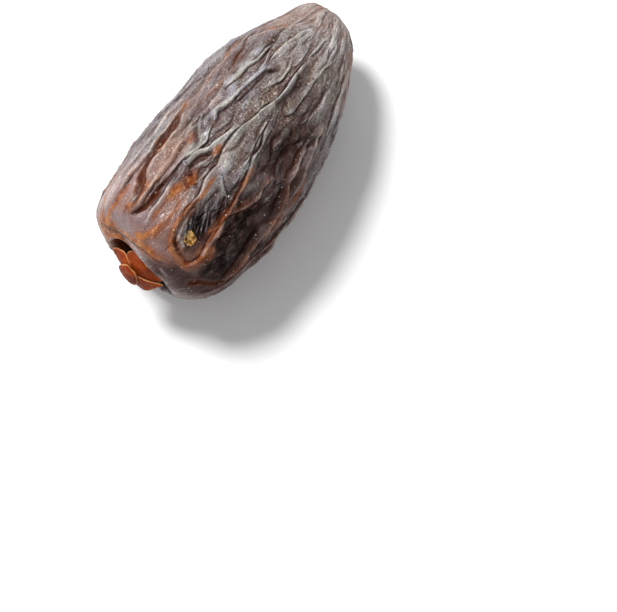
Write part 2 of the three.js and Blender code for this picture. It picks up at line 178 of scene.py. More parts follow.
# Fine creases between those folds, in the same form
CREASES = [
    (0.34, 0.34, 1, "47.5,-22 46,-19.5 42.6,-16.6 40.5,-15.7 37,-15.3"),
    (0.3, 0.3, 1, "12,-9.5 15,-8.5 18.4,-7 20.5,-6.5"),
    (0.32, 0.34, -1, "40,15 38,13.5 36.5,12 34.5,10.5 32.4,10 30,11.5"),
    (-0.55, 0.3, 0, "37.5,-1 36.5,0 35.2,4 33.8,5 32.4,5 30.6,4.7 28,6.5"),
    (0.3, 0.3, 1, "34,24 30,27 27.8,27 25.8,27.4 24.2,28.4 22.3,29", 0.3),
    (0.3, 0.28, -1, "13.8,5 11,4 8,4 5,5 3.2,6"),
    (0.35, 0.3, 1, "14.9,10 14.3,6.5 14,3.5"),
    (-0.7, 0.28, 0, "13.8,3.5 14.4,2 16,0 17.5,-2 18.3,-4.5", 0.3),
    (0.42, 0.34, -1, "12.3,-0.5 11.9,-4 13,-7.5 14.5,-9.5 16.3,-9.3"),
    (0.36, 0.34, 1, "18.7,20.5 20.6,17 23,20 24.6,23"),
    (0.4, 0.32, 1, "29,6 30.8,5 32.8,6 34.7,4.5 36,1.5"),
    (0.36, 0.3, 0, "26.2,-33.5 28,-34.5 30,-34"),
    (0.42, 0.36, 1, "16,-15 15.7,-18 14.6,-22.5 14.1,-27 14.9,-30"),
    (0.36, 0.34, 0, "42.4,49 43.8,34 45.2,28 46.5,14", 0.4),
    (0.34, 0.3, -1, "39.2,-46.5 36.5,-46.5 33.7,-47.5"),
    (-0.5, 0.34, 0, "29.8,-55 31.9,-57.5 34.5,-65"),
    (0.34, 0.3, -1, "28.5,-18 25,-19 22,-20.5 19.5,-21 18,-20"),
    (0.3, 0.3, -1, "30,-18.5 27,-20 24,-22 21.5,-23.5"),
    (0.34, 0.32, 1, "30.5,-19 28,-23 25,-25.5 22,-27.5 19,-29"),
    (0.36, 0.36, -1, "20.5,-30.5 17.5,-31.5 15,-32.5 13,-34 11,-35.5 7.5,-36", 0.7),
    (0.36, 0.34, -1, "22.5,-47 20.8,-44.5 18.7,-44 16.3,-42.5 14.6,-41 13,-39.5", 0.3),
    (0.32, 0.3, -1, "46.5,-1 45.5,0 43.5,2.5 42.2,5 40.3,7.4 36.5,7"),
    (0.34, 0.32, -1, "40.5,-2 39,-4 37.2,-6.3 35.3,-6 33.5,-4.2 31,-4.5"),
    (0.36, 0.32, -1, "48,-33 45,-32 42,-31.5 38.5,-31 35.3,-29.5 31.3,-25"),
    (0.26, 0.28, 1, "39,-26 36.5,-26 34,-25.5 32.5,-24"),
    (0.3, 0.36, 1, "49,-52 47,-56 44,-60 41,-62", 0.2),
    (-0.4, 0.3, 0, "34,-63 32,-60 31,-58"),
    (-0.4, 0.3, 0, "42,45 39.8,44 37.3,38 35,35 32.8,30", 0.6),
    (0.32, 0.34, 1, "26,42 23,41 19.5,45 16,46 13,48 11,50", 0.2),
    (0.26, 0.28, -1, "13,36 11,37 9,37 7,40", 0.3),
    (-0.45, 0.4, 0, "22.8,-55 24.3,-53 26,-53.5 28,-52 30,-49", 0.35),
    (0.3, 0.26, 1, "5,-24 7.5,-24 10.5,-23 13,-21.5"),
    (0.3, 0.26, 1, "5,-26.5 7.5,-26.8 10.5,-26 13,-24.5"),
    (0.3, 0.26, 1, "4.5,-33 7.5,-31 10.5,-30 13,-28.5"),
    (0.26, 0.28, 1, "9,-4 12,-6 15,-9 17,-10", 0.2),
]

# Seeded creases over the whole skin
SEEDED_CREASES = {"count": 480, "seed": 90211, "length": (4, 13), "rise": (0.12, 0.32), "width": (0.24, 0.4)}

# Tints of the skin: name to patches of (distance from the rim, angle, reach along, reach around, strength)
PATCHES = {
    "amber": [
        (12.6, -2, 1.8, 1.2, 1), (9.8, 1, 2.2, 0.8, 0.9), (18.8, -5.5, 1.4, 0.6, 1),
        (48, -88, 4.5, 2.2, 0.7), (9, -37, 2.2, 0.6, 0.6), (18.2, 14.5, 1.6, 0.8, 0.5), (54, 30, 2, 3, 0.5),
        (0, 48, 1.2, 1.4, 0.9), (0.4, 66, 1.6, 3.4, 0.6), (5, -43, 1.2, 1.2, 0.6), (-0.2, 58, 1.6, 3, 1.8),
        (-1, 46, 1.2, 2, 1.8), (-0.1, 41, 0.7, 0.9, 0.9), (-1, 80, 1.8, 3.4, 1), (-0.8, 20, 0.8, 2, 0.4),
        (53.8, 44, 1.8, 3, 0.5), (49, -80, 4, 1.6, 0.9),
    ],
    "pink": [
        (6, -8, 3.4, 2.2, 0.7), (2.4, -18, 2, 3.4, 0.6), (13.5, 17.5, 5, 1.6, 0.9), (52, 25, 4, 5, 0.6),
        (8, 32, 5, 2, 0.6), (4, 60, 5, 4, 0.7), (3, -52, 3, 4, 0.4), (25.5, 19, 2, 0.9, 0.6),
        (47, 48, 4, 3, 0.5), (8.2, -7, 2.2, 0.9, 1), (12, 20.5, 3.6, 1, 0.8), (3.2, 33, 1.6, 1.2, 0.7),
        (46.8, 40, 3, 2.2, 0.7), (46, -66, 5, 1.3, 0.9), (52, -38, 2, 2, 0.6), (41, -75, 3.4, 1.4, 0.6),
    ],
    # On the lower side, from -46 to -88 degrees, and on the flank near 64 degrees, these are partly the
    # skin's own dark patches and partly painted shadow
    "dark": [
        (7.2, -28, 4.4, 3, 1.2), (11, -46, 7, 4.4, 1.2), (25, -40, 6.5, 4, 0.7), (37, -21, 4, 1, 0.7),
        (29, -46, 5, 2.4, 0.6), (7, -66, 9, 5.5, 1.2), (14, -88, 12, 3.4, 0.8), (35, 2, 2.2, 0.8, 0.6),
        (3, 98, 6, 5, 0.3), (0.4, -50, 2.6, 4.4, 0.9), (1.5, -72, 3, 4.4, 0.9), (-0.6, -30, 1.2, 2.6, 0.8),
        (20, -62, 8, 4, 0.8), (4, -88, 6, 5, 0.5), (5.5, -12, 4, 2.6, 0.2), (14, 64, 9, 3.6, 0.3),
    ],
    "bloom": [
        (24, 2, 9, 5, 0.8), (19, -17, 5, 2.4, 1), (34, 11, 9, 5, 1), (48, -28, 5, 5, 1),
        (15, 48, 6, 3, 0.7), (9.5, 7, 4.5, 1, 0.6), (13, -22, 3, 1.2, 0.7), (47, 0, 7, 7, 1),
        (32, 26, 8, 3, 0.5), (48, -60, 5, 5, 1), (38, -68, 6, 2.4, 0.7), (53, 20, 3, 5, 0.8),
        (41, -6, 6, 6, 0.9), (44, -40, 6, 5, 0.9), (30, 60, 14, 5, 0.6),
    ],
    "frost": [
        (50, -5, 6, 8, 1), (48, -45, 6, 6, 1), (53, 40, 4, 5, 0.7), (40, -4, 4, 3, 0.6),
        (41, -28, 5, 2.4, 0.6), (24, 33, 5, 2, 0.5), (19, -16, 4, 1.6, 0.6),
    ],
    "tan": [
        (29, -10, 6, 2.2, 1), (36, -2, 4, 1.6, 0.9), (33, 16, 4.5, 1.3, 0.8), (41, 8, 5, 1.6, 0.7),
        (22, -13, 4.5, 1.2, 0.7), (31, -27, 5, 2.2, 0.7), (39, -22, 5, 2, 0.9), (16, 23, 5, 1.6, 0.5),
        (30, 38, 7, 2, 0.5), (44, 20, 5, 3, 0.5), (37, -52, 6, 3, 0.5), (11, -3.5, 1.4, 1.2, 0.8),
        (43.4, -43, 3, 2, 1), (40.5, -55, 3, 1.8, 0.9), (40, -40, 2.6, 1.4, 0.8),
    ],
    "lilac": [
        (15, 47, 9, 2.6, 0.8), (2, 74, 4, 3, 0.8), (30, -84, 9, 1.8, 0.8), (3, -18, 2, 3, 0.4),
        (18, 38, 6, 1.2, 0.7), (24, 56, 14, 4, 0.6), (34, 34, 9, 4, 0.4), (8, 64, 7, 3, 0.6),
        (5, -3, 2.4, 1.6, 0.5), (7, 14.5, 3.4, 0.8, 0.7), (1.6, 20, 1, 4, 0.6), (4.6, 53.5, 4, 1, 1),
        (6.4, 31, 2.6, 0.8, 0.7), (3.2, 11, 2, 1.6, 0.8), (5.4, -11.5, 1.6, 0.9, 1),
        (1.2, -15, 1, 1.8, 0.9), (0, 74, 1.4, 2.6, 0.9), (1.6, -34, 1.2, 2, 0.7), (0, -46, 1.6, 3, 0.6),
    ],
    "striated": [(8, -23.5, 3.6, 2.4, 1.2), (9.5, -33, 3, 1.6, 0.7)],
}

# Lines of tint: name to (strength, width, path)
TINT_LINES = {
    "amber": [
        (0.7, 0.5, "5,22.5 8,26 10.4,28.5 14,29 17.2,30 19.9,33.5 25.5,41"),
        (0.9, 0.4, "0.1,86 0.8,62 2,55 5.1,57.5 7.7,58.5 12,58"),
        (1.2, 0.5, "-0.2,56 0.4,49 1.1,46 2.4,41.5 3.6,36.5 5.2,35 7.4,34.5"),
        (1.2, 0.5, "2.9,25 4.2,22.5 5.5,21 6.8,20.5 9,21.5"),
        (0.9, 0.45, "0.6,62 0.3,47.5 -0.3,40 -0.4,27 -0.1,13 0.2,0 0.3,-10 0.7,-22"),
        (0.9, 0.4, "0.4,10 0.9,3 2.1,-4 3.5,-6 5.1,-7 6.6,-7.5 8,-7 9.1,-0.5"),
        (0.8, 0.35, "3.6,1.8 5,1.2 6.6,0.8 8.4,0.6 10,1.4"),
        (0.9, 0.3, "15.8,-14.5 13,-15.5 10.6,-16 8.5,-14.5 6.5,-14 4.6,-15.5 3.3,-17"),
        (0.8, 0.3, "3.3,-17 2.5,-24.5 1.7,-33 1.4,-39.5 1.9,-45.5"),
        (0.9, 0.45, "3.6,-46 4.5,-42 6.5,-41.5 8.8,-41.5 10.5,-38"),
        (0.7, 0.5, "12.5,-71.5 14.9,-70 19.2,-67 24.1,-59"),
        (0.6, 0.6, "34.3,43 36.5,49 40,52"),
        (0.3, 0.4, "40,43 43,31 46,19"),
        (0.5, 0.6, "14,-77 20,-76 27,-72"),
    ],
    "lilac": [
        (1, 0.8, "-0.6,100 0.4,88 1.8,74 3,52 4.8,45 8,42 12,39 16,37"),
        (0.6, 0.5, "2.5,9 3.6,3.5 4.6,-1.5"),
        (0.6, 0.6, "1,-9 1.6,-16 2,-24"),
    ],
    # Pale lines along fold crests and the rim: partly chalky rubs, partly painted highlight
    "pale": [
        (1, 0.24, "3,5.2 4.5,4.5 6.4,4 8,3.2 10,4.2"),
        (0.9, 0.28, "7.5,-17.5 5.6,-18 4.4,-20 3.9,-25 3.4,-31"),
        (0.8, 0.25, "14.4,-12.8 12.6,-13.6 10.6,-14.2 9.4,-13.4"),
        (0.5, 0.3, "-1,28 -0.9,12 -0.8,-6"),
        (0.6, 0.4, "2.1,52 3.1,48.5 4.8,45.5 7.5,44"),
        (0.7, 0.2, "-0.4,-30 -0.6,-38 -0.6,-44"),
        (0.35, 0.25, "4.2,-44.5 5.4,-43.5 7.4,-43.2 9.4,-42 11.2,-38.5"),
    ],
    "frost": [(1, 0.6, "5,8.6 6.8,7.6 8.4,7.2 10.5,7.4 12.5,8")],
    # Dark lines, most of them along slits, grooves and a pit of the relief, where they are painted shade
    "dark": [
        (1.2, 0.34, "2.9,20 3.6,16.5 4.7,13 5.8,11.6 8.5,11.6 10.5,10.5"),
        (1, 0.7, "5.4,8.2 6.8,7.4 8.4,7.2 10.5,7.4 12.5,8"),
        (0.8, 0.2, "3.2,3.9 4.6,3.4 6.2,3"),
        (1, 0.28, "27.3,7.5 28.1,6.5 29,4.8 31,4"),
        (0.8, 0.4, "31,-17.5 34,-19.5 38,-21 42,-20"),
        (0.8, 0.45, "33,5 35,1.5 36.5,0"),
        (0.8, 0.5, "20,-36 25,-37 30,-40 34,-39"),
        (1, 0.6, "11.6,-4.6 12.6,-3.6 13.4,-2.4"),
    ],
}

# The direction of the fine furrows in the dent beside the stem, and the one across them
FURROW_ALONG = (0.865, 0.455, 0.212)
FURROW_ACROSS = (-0.502, 0.783, 0.366)

# Fine furrows of the dent: the first and the last start at these places, and each runs the same way
FURROWS = {"count": 9, "starts": [(4.4, -20), (9.4, -35)], "run": (4.4, 10), "rise": 0.26, "width": 0.24}

# A small drop of dried syrup, and a crust of sugar crystals: distance from the rim, angle and radius.
# Their height, the crust's roughness as a share of it, and its grains as reach and seed
DROP = (13.3, 1, 0.6)
CRUST = (5, -28.8, 1.25)
DEPOSIT_HEIGHT = 0.25
CRUST_ROUGHNESS = 0.15
CRUST_GRAINS = [(0.28, 15), (0.5, 16)]

# Lobes of the calyx, the lower ones first: lift over the dome, and closed outline as "angle,radius" points
LOBES = [
    (0, "130,1 150,2.3 180,2.6 205,2.6 228,1.3 180,0.3"),
    (0.15, "-90,0.6 -76,2 -72,4.3 -59,5.1 -42,4.6 -21,4.1 -2,4.6 14,5 36,4.4 40,2.5 60,0.4"),
    (0.5, "20,0.5 34,2.8 42,4.3 58,5.1 72,5.6 82,5.9 87,3.8 95,1.6 110,0.6"),
    (0.7, "150,0.6 -175,1.2 -158,2.4 -143,3.3 -123,3.3 -95,3.9 -84,4.4 -76,5.2 -70,4.4 -64,2.8 "
          "-56,1.6 -30,0.9"),
    (1, "100,3.3 128,2.9 152,2.5 175,2.1 -168,1.9 -120,1.2 -50,1.1 -9,1.7 10,1.9 35,2.6 52,2.7 79,3"),
]

# The photograph's camera: angles in degrees, distance in millimetres, places in the picture in pixels
PICTURE = (617, 612)
FIELD_OF_VIEW = 24
CAMERA_ELEVATION = 68
CAMERA_HEADING = 47.2
CAMERA_DISTANCE = 250.7
BODY_PIXEL = (245.3, 134.5)

# The studio, in metres and watts: each lamp's place, width and power
LAMPS = {
    "key": ((0.02, 0.38, 0.68), 0.22, 6.5),
    "side": ((0.15, 0.7, 0.16), 0.3, 0.6),
    "fill": ((-0.4, -0.3, 0.6), 0.5, 0.7),
}
WORLD_STRENGTH = 0.4
FLOOR_REACH = 3
FLOOR_TONE = (0.86, 0.86, 0.86, 1)


# Numbers, curves and noise

def seeded_random(seed):
    state = seed
    while True:
        state = state * 16807 % 2147483647
        yield (state - 1) / 2147483646


def smoothstep(x, low, high):
    t = np.clip((x - low) / (high - low), 0, 1)
    return t * t * (3 - 2 * t)


def bell(x):
    return np.exp(-(x**2))


def between(ends, share):
    return ends[0] + (ends[1] - ends[0]) * share


def pairs(text):
    """Pairs of numbers from text such as "3,49 7,47"."""
    return [tuple(float(number) for number in pair.split(",")) for pair in text.split()]


def through(points, share):
    """A smooth curve through the points, at shares from 0 to 1 of its spans."""
    points = np.array(points, float)
    spans = len(points) - 1
    at = np.clip(share * spans, 0, spans - 1e-9)
    i = at.astype(int)
    t = (at - i)[:, None]
    p1, p2 = points[i], points[i + 1]
    p0 = points[np.maximum(i - 1, 0)]
    p3 = points[np.minimum(i + 2, spans)]
    v0, v1 = (p2 - p0) / 2, (p3 - p1) / 2
    return (2 * p1 - 2 * p2 + v0 + v1) * t**3 + (-3 * p1 + 3 * p2 - 2 * v0 - v1) * t**2 + v0 * t + p1


def lengths(curve):
    """The length of the curve up to each of its points."""
    return np.concatenate([[0], np.cumsum(np.linalg.norm(np.diff(curve, axis=0), axis=1))])


def at_lengths(curve, at):
    return np.stack([np.interp(at, lengths(curve), curve[:, k]) for k in (0, 1)], 1)


def evenly(curve, count):
    """Points along the curve at even distances."""
    return at_lengths(curve, np.linspace(0, lengths(curve)[-1], count))


def around_axis(x, radius, angle):
    """Places at a distance along an axis and a radius from it."""
    return np.stack(np.broadcast_arrays(x, radius * np.sin(angle), radius * np.cos(angle)), -1)


def noise(place, seed):
    """Smooth noise from -1 to 1 at places, from values on a lattice."""
    values = np.random.default_rng(seed).uniform(-1, 1, LATTICE)
    cell = np.floor(place).astype(np.int64)
    t = place - cell
    t = t * t * (3 - 2 * t)
    total = 0
    for corner in np.ndindex(2, 2, 2):
        at = cell + corner
        value = values[(at[..., 0] * HASH[0] ^ at[..., 1] * HASH[1] ^ at[..., 2] * HASH[2]) % LATTICE]
        total = total + value * np.prod(np.where(corner, t, 1 - t), axis=-1)
    return total


# The barrel

class Barrel:
    """A grid of rows along the fruit and columns around it, with its smooth base surface."""

    def __init__(self):
        curve = through([(share * BELLY_RADIUS, x) for share, x in PROFILE], np.linspace(0, 1, CURVE_STEPS))
        length = lengths(curve)
        band = length[np.argmin(curve[:, 1])] - HOLLOW_BAND
        arc = np.concatenate([
            np.linspace(0, band, HOLLOW_ROWS, endpoint=False),
            np.linspace(band, length[-1], ALONG + 1 - HOLLOW_ROWS),
        ])
        outline = at_lengths(curve, arc)
        self.radius, self.x = outline[:, 0], outline[:, 1]
        self.rim_row = int(np.argmin(self.x))
        self.arc = np.broadcast_to(arc[:, None], (ALONG + 1, AROUND))
        self.past_rim = self.arc - arc[self.rim_row]
        turn = np.arange(AROUND) * 2 * np.pi / AROUND
        turn = turn - CLOSER_COLUMNS * np.sin(turn - math.radians(CLOSEST_ANGLE))
        self.angle = np.broadcast_to(turn, self.arc.shape)
        slope = np.gradient(outline, axis=0)
        slope /= np.linalg.norm(slope, axis=1)[:, None]
        self.place = around_axis(self.x[:, None], self.radius[:, None], self.angle)
        self.normal = around_axis(-slope[:, :1], slope[:, 1:], self.angle)
        self.sideways = around_axis(0, 1, self.angle + np.pi / 2)
        self.shifted = self.place + self.sideways * layered(self, SIDEWAYS_SHIFT)[..., None]
        self.shifted[..., 0] += layered(self, ALONG_SHIFT)
        self.uneven = 1 + layered(self, UNEVEN_RISE)

    def on(self, path):
        """Places on the base surface of (distance from the rim, angle in degrees) points."""
        radius = np.interp(path[:, 0], self.x[self.rim_row:], self.radius[self.rim_row:])
        return around_axis(path[:, 0], radius, np.radians(path[:, 1]))

    def reached(self, x, angle, along, around):
        """Each point's squared distance from a place, in shares of a reach along and a reach around."""
        d = self.place - self.on(np.array([[x, angle]], float))[0]
        return (d[..., 0] / along) ** 2 + (np.hypot(d[..., 1], d[..., 2]) / around) ** 2

    def apart(self, degrees):
        """How far round each point lies from an angle, from -180 to 180 degrees."""
        return np.degrees(np.angle(np.exp(1j * (self.angle - math.radians(degrees)))))


def streaks(barrel, along, around, seed):
    """Noise drawn out along the fruit, which narrows towards both ends as the skin does."""
    girth = np.clip(barrel.radius, 0.75 * BELLY_RADIUS, None)[:, None]
    return noise(31.7 + around_axis(barrel.arc / along, girth / around, barrel.angle), seed)


def layered(barrel, noises):
    return sum(share * streaks(barrel, *rule) for share, *rule in noises)


def facets(barrel, along, around, seed):
    """Crumpled skin: facets tilted at random, which meet in seams. Gives its height and its seams."""
    values = np.random.default_rng(seed).uniform(-1, 1, (4, LATTICE))
    columns = round(2 * math.pi * BELLY_RADIUS / around)
    u, v = barrel.arc / along, barrel.angle * columns / (2 * math.pi)
    u, v = (at + 0.5 * streaks(barrel, 1.3 * along, 1.3 * around, seed + k) for at, k in ((u, 1), (v, 2)))
    row, column = np.floor(u).astype(int), np.floor(v).astype(int)
    total = weight = 0
    nearest, second = np.full(u.shape, 9.0), np.full(u.shape, 9.0)
    for i, j in np.ndindex(3, 3):
        r, c = row + i - 1, column + j - 1
        key = (r * FACET_HASH[0] + (c % columns) * FACET_HASH[1]) % LATTICE
        du = u - (r + 0.5 + FACET_SCATTER * values[0][key])
        dv = v - (c + 0.5 + FACET_SCATTER * values[1][key])
        far = du**2 + dv**2
        share = np.exp(-FACET_SHARPNESS * far)
        total = total + share * (values[2][key] * du + values[3][key] * dv)
        weight = weight + share
        second = np.minimum(second, np.maximum(far, nearest))
        nearest = np.minimum(nearest, far)
    seam = np.sqrt(second) - np.sqrt(nearest)
    return total / (weight + 1e-9), bell(seam / SEAM_WIDTH)


# Folds

def far_folds(rule):
    draw = seeded_random(rule["seed"])
    folds = []
    for i in range(rule["count"]):
        middle = between(rule["angles"], (i + 0.2 + 0.6 * next(draw)) / rule["count"])
        start = 0.8 + 16 * next(draw) * (i % 2)
        end = min(52, start + 20 + 24 * next(draw))
        drift = 10 * (next(draw) - 0.5)
        wave = 3 + 3 * next(draw)
        phase = 6.28 * next(draw)
        steps = int((end - start) / 4 + 0.5)
        path = [
            (start + (end - start) * s, middle + drift * (s - 0.5) + wave * math.sin(phase + 5 * s))
            for s in (k / steps for k in range(steps + 1))
        ]
        rise, width = between(rule["rise"], next(draw)), between(rule["width"], next(draw))
        folds.append((rise, width, -1 if next(draw) < 0.5 else 1, path, 0.15))
    return folds


def seeded_creases(rule):
    draw = seeded_random(rule["seed"])
    creases = []
    for _ in range(rule["count"]):
        start, angle = 1 + 50 * next(draw), 360 * next(draw)
        length = between(rule["length"], next(draw))
        slope = 3 * (next(draw) - 0.5)
        wave, phase = 1.2 + 2.5 * next(draw), 6.28 * next(draw)
        steps = 7
        path = [
            (start + at, angle + slope * at + wave * math.sin(phase + 0.9 * k))
            for k, at in ((k, length * k / steps) for k in range(steps + 1))
            if start + at < 54
        ]
        rise, width = between(rule["rise"], next(draw)), between(rule["width"], next(draw))
        sign = -1 if next(draw) < 0.35 else 1
        lee = -1 if next(draw) < 0.5 else 1
        if len(path) > 3:
            creases.append((sign * rise, width, lee, path))
    return creases


def furrows(rule):
    """Fine upright folds side by side in the dent."""
    starts = between(np.array(rule["starts"]), np.linspace(0, 1, rule["count"])[:, None])
    paths = (start + np.linspace(0, 1, 5)[:, None] * rule["run"] for start in starts)
    return [(rule["rise"], rule["width"], 1, path) for path in paths]


def follow(barrel, path, reach):
    """Points of the skin near a path: which ones, how far off, at what share of it, and on which side.

    The side is 1 on the left of the path, seen from outside, and -1 on its right.
    """
    count = 8 * len(path)
    places = barrel.on(through(path, np.linspace(0, 1, count)))
    low, high = places.min(0) - reach, places.max(0) + reach
    near = ((barrel.place > low) & (barrel.place < high)).all(-1) & (barrel.normal[..., 0] > -0.98)
    at, out = barrel.shifted[near], barrel.normal[near]
    best = np.full(len(at), np.inf)
    along, side = np.zeros(len(at)), np.zeros(len(at))
    for i in range(count - 1):
        a, d = places[i], places[i + 1] - places[i]
        t = np.clip(((at - a) @ d) / (d @ d), 0, 1)
        off = at - a - t[:, None] * d
        far = np.linalg.norm(off, axis=1)
        closer = far < best
        best = np.where(closer, far, best)
        along = np.where(closer, (i + t) / (count - 1), along)
        side = np.where(closer, np.sign((np.cross(d, off) * out).sum(1)), side)
    return near, best, along, side


def raise_to(field, near, value):
    field[near] = np.maximum(field[near], value)


def stroke(barrel, relief, rise, width, lee, path, amber=0):
    """Adds one fold to the relief: its crest, the groove on its lee side, its lean and its tint."""
    near, best, along, side = follow(barrel, path, 4.5 * width)
    size, away = abs(rise), best / width
    taper = 0.08 + 0.92 * smoothstep(along, -0.1, 0.18) * (1 - smoothstep(along, 0.78, 1))
    taper = taper * barrel.uneven[near]
    sheltered = side == lee
    base = BASE_SHARE * bell(np.where(sheltered, LEE_SLOPE, OPEN_SLOPE) * away)
    crest = taper * (base + CREST_SHARE * bell(CREST_SLOPE * away) + LINE_SHARE * np.exp(-away / LINE_REACH))
    groove = taper * bell((away - GROOVE_PLACE) / GROOVE_REACH) * sheltered
    if rise < 0:
        crest, groove = 0 * crest, taper * bell(away) / GROOVE_DEPTH
    relief["crests"][near] += (size * crest) ** 3
    relief["grooves"][near] += (GROOVE_DEPTH * size * groove) ** 3
    relief["lean"][near] += lee * size * crest * LEAN
    tint = smoothstep(size, 0.1, 0.5)
    # The crest gets a pale line, partly painted highlight, and the groove gets painted shade in the material
    raise_to(relief["crest"], near, tint * taper * bell(away / CREST_TINT_REACH) * (rise > 0))
    raise_to(relief["groove"], near, tint * groove)
    raise_to(relief["amber"], near, amber * taper * bell(away / AMBER_TINT_REACH))


# The skin

def patches(barrel, spots, warp):
    total = np.zeros(barrel.arc.shape)
    for *spot, strength in spots:
        far = barrel.reached(*spot) * (1 + 0.7 * warp)
        total = np.maximum(total, strength * np.exp(-(far**1.3)))
    return total


def tint_lines(barrel, lines, total):
    for strength, width, path in lines:
        near, best, along, _ = follow(barrel, pairs(path), 3 * width)
        ends = smoothstep(along, -0.05, 0.12) * (1 - smoothstep(along, 0.85, 1.02))
        raise_to(total, near, strength * ends * barrel.uneven[near] * bell(best / width))
    return total


def dome_at(barrel, x, angle, radius):
    """A round rise of the skin at a place: 1 in its middle and 0 past its radius."""
    return np.sqrt(np.clip(1 - barrel.reached(x, angle, radius, radius), 0, 1))


def blur(barrel, field, reach):
    """The field smoothed over the skin by a bell curve of this reach in millimetres."""
    arc, turn = barrel.arc[:, 0], barrel.angle[0]
    apart = np.angle(np.exp(1j * (turn[:, None] - turn))) * BELLY_RADIUS
    along = np.exp(-(((arc[:, None] - arc) / reach) ** 2) / 2) * np.gradient(arc)
    around = np.exp(-((apart / reach) ** 2) / 2) * np.gradient(turn)
    along /= along.sum(1)[:, None]
    around /= around.sum(1)[:, None]
    return along @ field @ around.T


def against_surroundings(barrel, height, reach, full):
    """0.5 where the skin is as high as its surroundings, and 1 where it stands out by the full height."""
    return 0.5 + 0.5 * (height - blur(barrel, height, reach)) / full


def glazed_zone(barrel):
    x, top = barrel.place[..., 0], barrel.apart(0)
    zones = [share * (1 - smoothstep(x, *along)) * smoothstep(top, *near) for share, along, near in GLAZED]
    return np.maximum(*zones) * (1 - smoothstep(top, *GLAZE_FAR_FADE))


def skin_relief(barrel):
    fields = ("crests", "grooves", "lean", "crest", "groove", "amber")
    relief = {name: np.zeros(barrel.arc.shape) for name in fields}
    drawn = [(rise, width, lee, pairs(path), *amber) for rise, width, lee, path, *amber in FOLDS + CREASES]
    for fold in drawn + far_folds(FAR_FOLDS) + furrows(FURROWS) + seeded_creases(SEEDED_CREASES):
        stroke(barrel, relief, *fold)
    swells = sum(height * np.exp(-barrel.reached(*spot)) for *spot, height in SWELLS)
    coarse, fine = (1 - 2 * np.abs(layered(barrel, noises)) for noises in (COARSE_RIDGES, FINE_RIDGES))
    sheets, seams = facets(barrel, *SHEETS)
    flakes, cracks = facets(barrel, *FLAKES)
    crumpled = COARSE_HEIGHT * coarse + FINE_HEIGHT * fine + SHEET_HEIGHT * sheets + FLAKE_HEIGHT * flakes
    relief["cracks"] = np.maximum(0.8 * seams, cracks)
    relief["glazed"] = glazed_zone(barrel)
    relief["drop"], relief["crust"] = dome_at(barrel, *DROP), dome_at(barrel, *CRUST)
    grains = sum(noise(barrel.place / reach, seed) for reach, seed in CRUST_GRAINS)
    relief["height"] = (
        swells + np.cbrt(relief["crests"]) - np.cbrt(relief["grooves"])
        + (1 - GLAZE_CALM * relief["glazed"]) * crumpled
        + DEPOSIT_HEIGHT * (relief["drop"] + relief["crust"] * (1 + CRUST_ROUGHNESS * grains))
    )
    relief["fade"] = smoothstep(barrel.past_rim, *HOLLOW_FADE)
    relief["fade"] *= smoothstep(barrel.arc[-1] - barrel.arc, *TIP_FADE)
    return relief


def skin_tints(barrel, relief, height):
    """The fields that the skin's material reads."""
    warp = layered(barrel, PATCH_BEND)
    tints = {name: patches(barrel, spots, warp) for name, spots in PATCHES.items()}
    for name, lines in TINT_LINES.items():
        tints[name] = tint_lines(barrel, lines, tints.get(name, np.zeros(barrel.arc.shape)))
    tints["amber"] = np.maximum(tints["amber"], relief["amber"])
    for name in ("groove", "drop", "crust", "cracks"):
        # The groove tint becomes painted shade, and the crest tint a pale line that is partly painted
        # highlight
        tints[name] = relief[name]
    tints["crest"] = relief["crest"] * (1 - 0.5 * smoothstep(np.abs(barrel.apart(CLOSEST_ANGLE)), 92, 115))
    # Inside the hollow, which the material fills with painted shade
    tints["within"] = 1 - smoothstep(barrel.past_rim, -1.3, 0)
    tints["glazed"] = relief["glazed"] * (1 - tints["within"])
    # How far the skin stands out: the material paints shade in the lows and highlight and sheen on what
    # stands out
    tints["convex"] = against_surroundings(barrel, height, *NEAR_RELIEF)
    tints["raised"] = against_surroundings(barrel, height, *BROAD_RELIEF)
    return tints


def settle(z):
    """Presses the skin flat where it reaches below the surface that it lies on."""
    soft = np.where(z <= -FLAT_BLEND, 0, (z + FLAT_BLEND) ** 2 / (4 * FLAT_BLEND))
    return np.where(z >= FLAT_BLEND, z, soft)


def bend(x):
    """The fruit's axis: its place across and its height."""
    share = x / LENGTH
    level, slope, curve = AXIS_ACROSS
    return level + slope * share + curve * share**2, AXIS_HEIGHT - AXIS_DROP * share**3


def grid_mesh(name, points, attributes):
    """A closed mesh of rows and columns of points, whose first and last row each shrink to one point."""
    rows, columns = points.shape[:2]
    inner = points[1:-1].reshape(-1, 3)
    verts = np.vstack([points[0].mean(0), inner, points[-1].mean(0)])
    index = 1 + np.arange((rows - 2) * columns).reshape(rows - 2, columns)
    after = np.roll(index, -1, 1)
    faces = np.stack([index[:-1], after[:-1], after[1:], index[1:]], -1).reshape(-1, 4).tolist()
    last = len(verts) - 1
    faces += [(0, b, a) for a, b in zip(index[0].tolist(), after[0].tolist())]
    faces += [(last, a, b) for a, b in zip(index[-1].tolist(), after[-1].tolist())]
    mesh = bpy.data.meshes.new(name)
    mesh.from_pydata(verts.tolist(), [], faces)
    for attribute, field in attributes.items():
        values = np.concatenate([[field[0].mean()], field[1:-1].ravel(), [field[-1].mean()]])
        layer = mesh.attributes.new(attribute, "FLOAT", "POINT")
        layer.data.foreach_set("value", np.clip(values, 0, 1).astype(np.float32))
    mesh.shade_smooth()
    mesh.validate()
    return placed(name, mesh)


def placed(name, data):
    """A new object of the scene."""
    piece = bpy.data.objects.new(name, data)
    bpy.context.scene.collection.objects.link(piece)
    return piece


